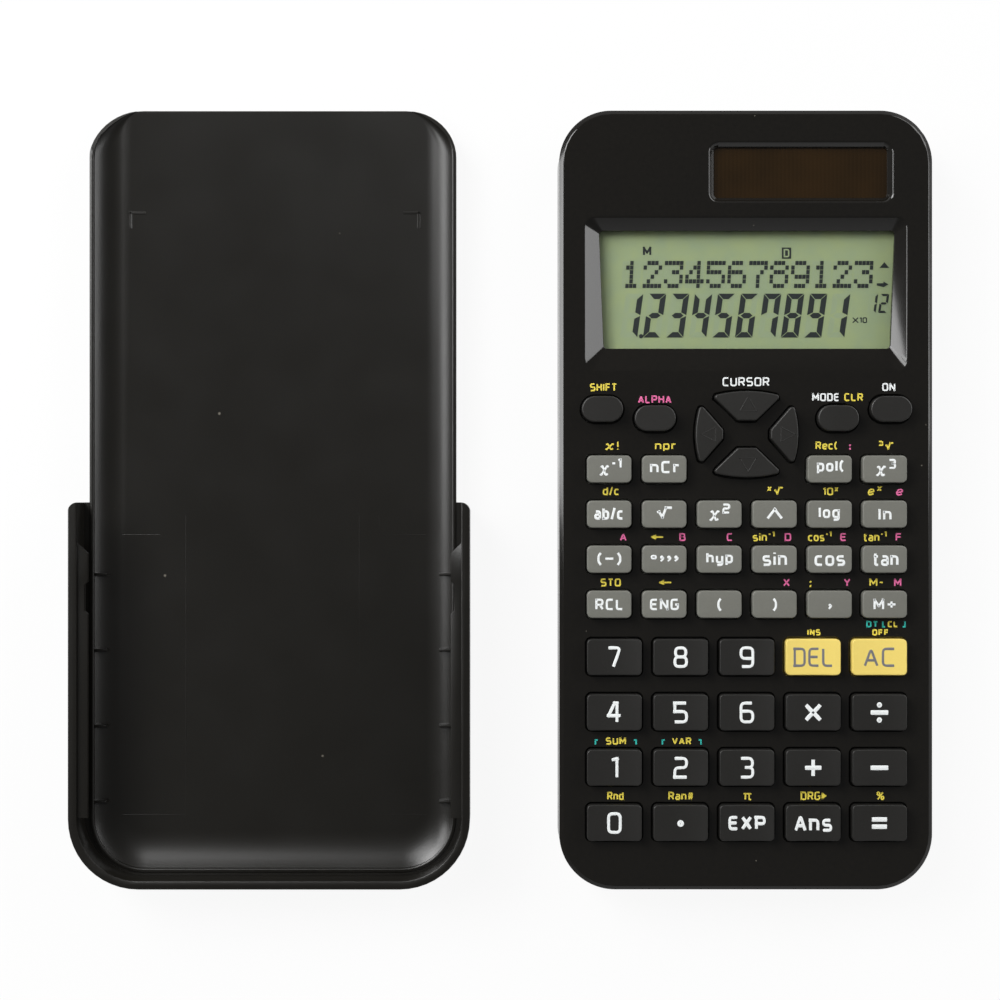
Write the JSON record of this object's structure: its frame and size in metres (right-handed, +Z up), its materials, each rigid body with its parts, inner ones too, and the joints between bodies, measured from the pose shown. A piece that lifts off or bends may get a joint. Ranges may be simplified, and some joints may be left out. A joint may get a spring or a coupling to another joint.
{
  "type": "scientific calculator",
  "caption": "Slim pocket scientific calculator with a two-line display, solar window, rounded keys and a matching hard slide-on cover lying beside it.",
  "frame": {"origin": "middle of the calculator's flat back, on the table", "axes": "+Z up out of the face, +Y towards the display end, +X to the right of the keypad; the cover lies on the -X side"},
  "size_m": [0.1789, 0.1632, 0.0135],
  "materials": {
    "case_gloss_black": "glossy moulded black, mirror-like on the face",
    "back_satin_black": "satin moulded black",
    "cover_satin_black": "satin moulded black with a fine grain",
    "window_clear": "clear acrylic window",
    "display_glass": "reflective grey-green liquid crystal glass",
    "solar_glass": "dark brown amorphous cell behind glass",
    "keypad_silicone": "moulded grey silicone",
    "board_laminate": "green glass-fibre laminate",
    "cell_steel": "nickel-plated can",
    "screw_steel": "zinc-plated, pan head",
    "key_black": "matte moulded black",
    "key_grey": "satin grey",
    "key_yellow": "satin pale yellow"
  },
  "bodies": {
    "calculator": {"front_case": "case_gloss_black", "back_case": "back_satin_black", "display_window": "window_clear", "lcd_panel": "display_glass", "solar_panel": "solar_glass", "rubber_keypad": "keypad_silicone", "circuit_board": "board_laminate", "battery": "cell_steel", "screws": "screw_steel"},
    "cover": {"slide_cover": "cover_satin_black"},
    "key_shift": {"key_shift": "key_black"},
    "key_alpha": {"key_alpha": "key_black"},
    "key_mode": {"key_mode": "key_black"},
    "key_on": {"key_on": "key_black"},
    "key_up": {"key_up": "key_black"},
    "key_left": {"key_left": "key_black"},
    "key_down": {"key_down": "key_black"},
    "key_right": {"key_right": "key_black"},
    "key_reciprocal": {"key_reciprocal": "key_grey"},
    "key_combinations": {"key_combinations": "key_grey"},
    "key_polar": {"key_polar": "key_grey"},
    "key_cube": {"key_cube": "key_grey"},
    "key_fraction": {"key_fraction": "key_grey"},
    "key_square_root": {"key_square_root": "key_grey"},
    "key_square": {"key_square": "key_grey"},
    "key_power": {"key_power": "key_grey"},
    "key_log": {"key_log": "key_grey"},
    "key_ln": {"key_ln": "key_grey"},
    "key_negative": {"key_negative": "key_grey"},
    "key_degrees": {"key_degrees": "key_grey"},
    "key_hyperbolic": {"key_hyperbolic": "key_grey"},
    "key_sine": {"key_sine": "key_grey"},
    "key_cosine": {"key_cosine": "key_grey"},
    "key_tangent": {"key_tangent": "key_grey"},
    "key_recall": {"key_recall": "key_grey"},
    "key_engineering": {"key_engineering": "key_grey"},
    "key_open_bracket": {"key_open_bracket": "key_grey"},
    "key_close_bracket": {"key_close_bracket": "key_grey"},
    "key_comma": {"key_comma": "key_grey"},
    "key_memory_add": {"key_memory_add": "key_grey"},
    "key_7": {"key_7": "key_black"},
    "key_8": {"key_8": "key_black"},
    "key_9": {"key_9": "key_black"},
    "key_delete": {"key_delete": "key_yellow"},
    "key_clear": {"key_clear": "key_yellow"},
    "key_4": {"key_4": "key_black"},
    "key_5": {"key_5": "key_black"},
    "key_6": {"key_6": "key_black"},
    "key_multiply": {"key_multiply": "key_black"},
    "key_divide": {"key_divide": "key_black"},
    "key_1": {"key_1": "key_black"},
    "key_2": {"key_2": "key_black"},
    "key_3": {"key_3": "key_black"},
    "key_plus": {"key_plus": "key_black"},
    "key_minus": {"key_minus": "key_black"},
    "key_0": {"key_0": "key_black"},
    "key_point": {"key_point": "key_black"},
    "key_exponent": {"key_exponent": "key_black"},
    "key_answer": {"key_answer": "key_black"},
    "key_equals": {"key_equals": "key_black"}
  },
  "joints": [
    {"name": "cover_slide", "type": "slide", "parent": "calculator", "child": "cover", "axis": [0, -1, 0], "range_m": [0, 0.063]},
    {"name": "press_shift", "type": "slide", "parent": "calculator", "child": "key_shift", "axis": [0, 0, -1], "range_m": [0, 0.001], "stiffness_N_per_m": 300, "deforming": ["rubber_keypad"]},
    {"name": "press_alpha", "type": "slide", "parent": "calculator", "child": "key_alpha", "axis": [0, 0, -1], "range_m": [0, 0.001], "stiffness_N_per_m": 300, "deforming": ["rubber_keypad"]},
    {"name": "press_mode", "type": "slide", "parent": "calculator", "child": "key_mode", "axis": [0, 0, -1], "range_m": [0, 0.001], "stiffness_N_per_m": 300, "deforming": ["rubber_keypad"]},
    {"name": "press_on", "type": "slide", "parent": "calculator", "child": "key_on", "axis": [0, 0, -1], "range_m": [0, 0.001], "stiffness_N_per_m": 300, "deforming": ["rubber_keypad"]},
    {"name": "press_up", "type": "slide", "parent": "calculator", "child": "key_up", "axis": [0, 0, -1], "range_m": [0, 0.001], "stiffness_N_per_m": 300, "deforming": ["rubber_keypad"]},
    {"name": "press_left", "type": "slide", "parent": "calculator", "child": "key_left", "axis": [0, 0, -1], "range_m": [0, 0.001], "stiffness_N_per_m": 300, "deforming": ["rubber_keypad"]},
    {"name": "press_down", "type": "slide", "parent": "calculator", "child": "key_down", "axis": [0, 0, -1], "range_m": [0, 0.001], "stiffness_N_per_m": 300, "deforming": ["rubber_keypad"]},
    {"name": "press_right", "type": "slide", "parent": "calculator", "child": "key_right", "axis": [0, 0, -1], "range_m": [0, 0.001], "stiffness_N_per_m": 300, "deforming": ["rubber_keypad"]},
    {"name": "press_reciprocal", "type": "slide", "parent": "calculator", "child": "key_reciprocal", "axis": [0, 0, -1], "range_m": [0, 0.001], "stiffness_N_per_m": 300, "deforming": ["rubber_keypad"]},
    {"name": "press_combinations", "type": "slide", "parent": "calculator", "child": "key_combinations", "axis": [0, 0, -1], "range_m": [0, 0.001], "stiffness_N_per_m": 300, "deforming": ["rubber_keypad"]},
    {"name": "press_polar", "type": "slide", "parent": "calculator", "child": "key_polar", "axis": [0, 0, -1], "range_m": [0, 0.001], "stiffness_N_per_m": 300, "deforming": ["rubber_keypad"]},
    {"name": "press_cube", "type": "slide", "parent": "calculator", "child": "key_cube", "axis": [0, 0, -1], "range_m": [0, 0.001], "stiffness_N_per_m": 300, "deforming": ["rubber_keypad"]},
    {"name": "press_fraction", "type": "slide", "parent": "calculator", "child": "key_fraction", "axis": [0, 0, -1], "range_m": [0, 0.001], "stiffness_N_per_m": 300, "deforming": ["rubber_keypad"]},
    {"name": "press_square_root", "type": "slide", "parent": "calculator", "child": "key_square_root", "axis": [0, 0, -1], "range_m": [0, 0.001], "stiffness_N_per_m": 300, "deforming": ["rubber_keypad"]},
    {"name": "press_square", "type": "slide", "parent": "calculator", "child": "key_square", "axis": [0, 0, -1], "range_m": [0, 0.001], "stiffness_N_per_m": 300, "deforming": ["rubber_keypad"]},
    {"name": "press_power", "type": "slide", "parent": "calculator", "child": "key_power", "axis": [0, 0, -1], "range_m": [0, 0.001], "stiffness_N_per_m": 300, "deforming": ["rubber_keypad"]},
    {"name": "press_log", "type": "slide", "parent": "calculator", "child": "key_log", "axis": [0, 0, -1], "range_m": [0, 0.001], "stiffness_N_per_m": 300, "deforming": ["rubber_keypad"]},
    {"name": "press_ln", "type": "slide", "parent": "calculator", "child": "key_ln", "axis": [0, 0, -1], "range_m": [0, 0.001], "stiffness_N_per_m": 300, "deforming": ["rubber_keypad"]},
    {"name": "press_negative", "type": "slide", "parent": "calculator", "child": "key_negative", "axis": [0, 0, -1], "range_m": [0, 0.001], "stiffness_N_per_m": 300, "deforming": ["rubber_keypad"]},
    {"name": "press_degrees", "type": "slide", "parent": "calculator", "child": "key_degrees", "axis": [0, 0, -1], "range_m": [0, 0.001], "stiffness_N_per_m": 300, "deforming": ["rubber_keypad"]},
    {"name": "press_hyperbolic", "type": "slide", "parent": "calculator", "child": "key_hyperbolic", "axis": [0, 0, -1], "range_m": [0, 0.001], "stiffness_N_per_m": 300, "deforming": ["rubber_keypad"]},
    {"name": "press_sine", "type": "slide", "parent": "calculator", "child": "key_sine", "axis": [0, 0, -1], "range_m": [0, 0.001], "stiffness_N_per_m": 300, "deforming": ["rubber_keypad"]},
    {"name": "press_cosine", "type": "slide", "parent": "calculator", "child": "key_cosine", "axis": [0, 0, -1], "range_m": [0, 0.001], "stiffness_N_per_m": 300, "deforming": ["rubber_keypad"]},
    {"name": "press_tangent", "type": "slide", "parent": "calculator", "child": "key_tangent", "axis": [0, 0, -1], "range_m": [0, 0.001], "stiffness_N_per_m": 300, "deforming": ["rubber_keypad"]},
    {"name": "press_recall", "type": "slide", "parent": "calculator", "child": "key_recall", "axis": [0, 0, -1], "range_m": [0, 0.001], "stiffness_N_per_m": 300, "deforming": ["rubber_keypad"]},
    {"name": "press_engineering", "type": "slide", "parent": "calculator", "child": "key_engineering", "axis": [0, 0, -1], "range_m": [0, 0.001], "stiffness_N_per_m": 300, "deforming": ["rubber_keypad"]},
    {"name": "press_open_bracket", "type": "slide", "parent": "calculator", "child": "key_open_bracket", "axis": [0, 0, -1], "range_m": [0, 0.001], "stiffness_N_per_m": 300, "deforming": ["rubber_keypad"]},
    {"name": "press_close_bracket", "type": "slide", "parent": "calculator", "child": "key_close_bracket", "axis": [0, 0, -1], "range_m": [0, 0.001], "stiffness_N_per_m": 300, "deforming": ["rubber_keypad"]},
    {"name": "press_comma", "type": "slide", "parent": "calculator", "child": "key_comma", "axis": [0, 0, -1], "range_m": [0, 0.001], "stiffness_N_per_m": 300, "deforming": ["rubber_keypad"]},
    {"name": "press_memory_add", "type": "slide", "parent": "calculator", "child": "key_memory_add", "axis": [0, 0, -1], "range_m": [0, 0.001], "stiffness_N_per_m": 300, "deforming": ["rubber_keypad"]},
    {"name": "press_7", "type": "slide", "parent": "calculator", "child": "key_7", "axis": [0, 0, -1], "range_m": [0, 0.001], "stiffness_N_per_m": 300, "deforming": ["rubber_keypad"]},
    {"name": "press_8", "type": "slide", "parent": "calculator", "child": "key_8", "axis": [0, 0, -1], "range_m": [0, 0.001], "stiffness_N_per_m": 300, "deforming": ["rubber_keypad"]},
    {"name": "press_9", "type": "slide", "parent": "calculator", "child": "key_9", "axis": [0, 0, -1], "range_m": [0, 0.001], "stiffness_N_per_m": 300, "deforming": ["rubber_keypad"]},
    {"name": "press_delete", "type": "slide", "parent": "calculator", "child": "key_delete", "axis": [0, 0, -1], "range_m": [0, 0.001], "stiffness_N_per_m": 300, "deforming": ["rubber_keypad"]},
    {"name": "press_clear", "type": "slide", "parent": "calculator", "child": "key_clear", "axis": [0, 0, -1], "range_m": [0, 0.001], "stiffness_N_per_m": 300, "deforming": ["rubber_keypad"]},
    {"name": "press_4", "type": "slide", "parent": "calculator", "child": "key_4", "axis": [0, 0, -1], "range_m": [0, 0.001], "stiffness_N_per_m": 300, "deforming": ["rubber_keypad"]},
    {"name": "press_5", "type": "slide", "parent": "calculator", "child": "key_5", "axis": [0, 0, -1], "range_m": [0, 0.001], "stiffness_N_per_m": 300, "deforming": ["rubber_keypad"]},
    {"name": "press_6", "type": "slide", "parent": "calculator", "child": "key_6", "axis": [0, 0, -1], "range_m": [0, 0.001], "stiffness_N_per_m": 300, "deforming": ["rubber_keypad"]},
    {"name": "press_multiply", "type": "slide", "parent": "calculator", "child": "key_multiply", "axis": [0, 0, -1], "range_m": [0, 0.001], "stiffness_N_per_m": 300, "deforming": ["rubber_keypad"]},
    {"name": "press_divide", "type": "slide", "parent": "calculator", "child": "key_divide", "axis": [0, 0, -1], "range_m": [0, 0.001], "stiffness_N_per_m": 300, "deforming": ["rubber_keypad"]},
    {"name": "press_1", "type": "slide", "parent": "calculator", "child": "key_1", "axis": [0, 0, -1], "range_m": [0, 0.001], "stiffness_N_per_m": 300, "deforming": ["rubber_keypad"]},
    {"name": "press_2", "type": "slide", "parent": "calculator", "child": "key_2", "axis": [0, 0, -1], "range_m": [0, 0.001], "stiffness_N_per_m": 300, "deforming": ["rubber_keypad"]},
    {"name": "press_3", "type": "slide", "parent": "calculator", "child": "key_3", "axis": [0, 0, -1], "range_m": [0, 0.001], "stiffness_N_per_m": 300, "deforming": ["rubber_keypad"]},
    {"name": "press_plus", "type": "slide", "parent": "calculator", "child": "key_plus", "axis": [0, 0, -1], "range_m": [0, 0.001], "stiffness_N_per_m": 300, "deforming": ["rubber_keypad"]},
    {"name": "press_minus", "type": "slide", "parent": "calculator", "child": "key_minus", "axis": [0, 0, -1], "range_m": [0, 0.001], "stiffness_N_per_m": 300, "deforming": ["rubber_keypad"]},
    {"name": "press_0", "type": "slide", "parent": "calculator", "child": "key_0", "axis": [0, 0, -1], "range_m": [0, 0.001], "stiffness_N_per_m": 300, "deforming": ["rubber_keypad"]},
    {"name": "press_point", "type": "slide", "parent": "calculator", "child": "key_point", "axis": [0, 0, -1], "range_m": [0, 0.001], "stiffness_N_per_m": 300, "deforming": ["rubber_keypad"]},
    {"name": "press_exponent", "type": "slide", "parent": "calculator", "child": "key_exponent", "axis": [0, 0, -1], "range_m": [0, 0.001], "stiffness_N_per_m": 300, "deforming": ["rubber_keypad"]},
    {"name": "press_answer", "type": "slide", "parent": "calculator", "child": "key_answer", "axis": [0, 0, -1], "range_m": [0, 0.001], "stiffness_N_per_m": 300, "deforming": ["rubber_keypad"]},
    {"name": "press_equals", "type": "slide", "parent": "calculator", "child": "key_equals", "axis": [0, 0, -1], "range_m": [0, 0.001], "stiffness_N_per_m": 300, "deforming": ["rubber_keypad"]}
  ]
}
